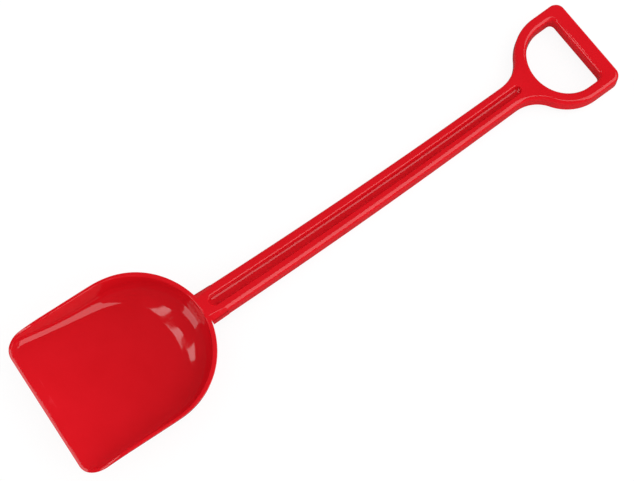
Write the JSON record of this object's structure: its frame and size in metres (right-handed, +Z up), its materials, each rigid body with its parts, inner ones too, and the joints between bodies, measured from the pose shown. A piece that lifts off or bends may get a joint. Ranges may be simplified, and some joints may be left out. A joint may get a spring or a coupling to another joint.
{
  "type": "sand shovel",
  "caption": "Child's sand shovel moulded in one piece, with a dished square-fronted scoop, a bowed grooved shaft and a D grip.",
  "frame": {"origin": "on the ground, under the middle of the shovel's length and width as it lies on its heel and shaft with the scoop's hollow up", "axes": "+Y runs from the scoop's tip to the grip, +Z is up out of the scoop's hollow, and +X is to the right of the shaft seen from above with the grip away"},
  "size_m": [0.1338, 0.5496, 0.0426],
  "materials": {
    "red_plastic": "glossy injection-moulded polypropylene, coloured through"
  },
  "bodies": {
    "root": {"scoop_pan": "red_plastic", "scoop_rim": "red_plastic", "shaft_root": "red_plastic", "shaft": "red_plastic", "shaft_rib_1": "red_plastic", "shaft_rib_2": "red_plastic", "shaft_rib_3": "red_plastic", "shaft_rib_4": "red_plastic", "shaft_rib_5": "red_plastic", "shaft_rib_6": "red_plastic", "shaft_rib_7": "red_plastic", "grip_neck": "red_plastic", "grip_arm_left": "red_plastic", "grip_arm_right": "red_plastic", "grip_bar": "red_plastic"}
  },
  "joints": []
}
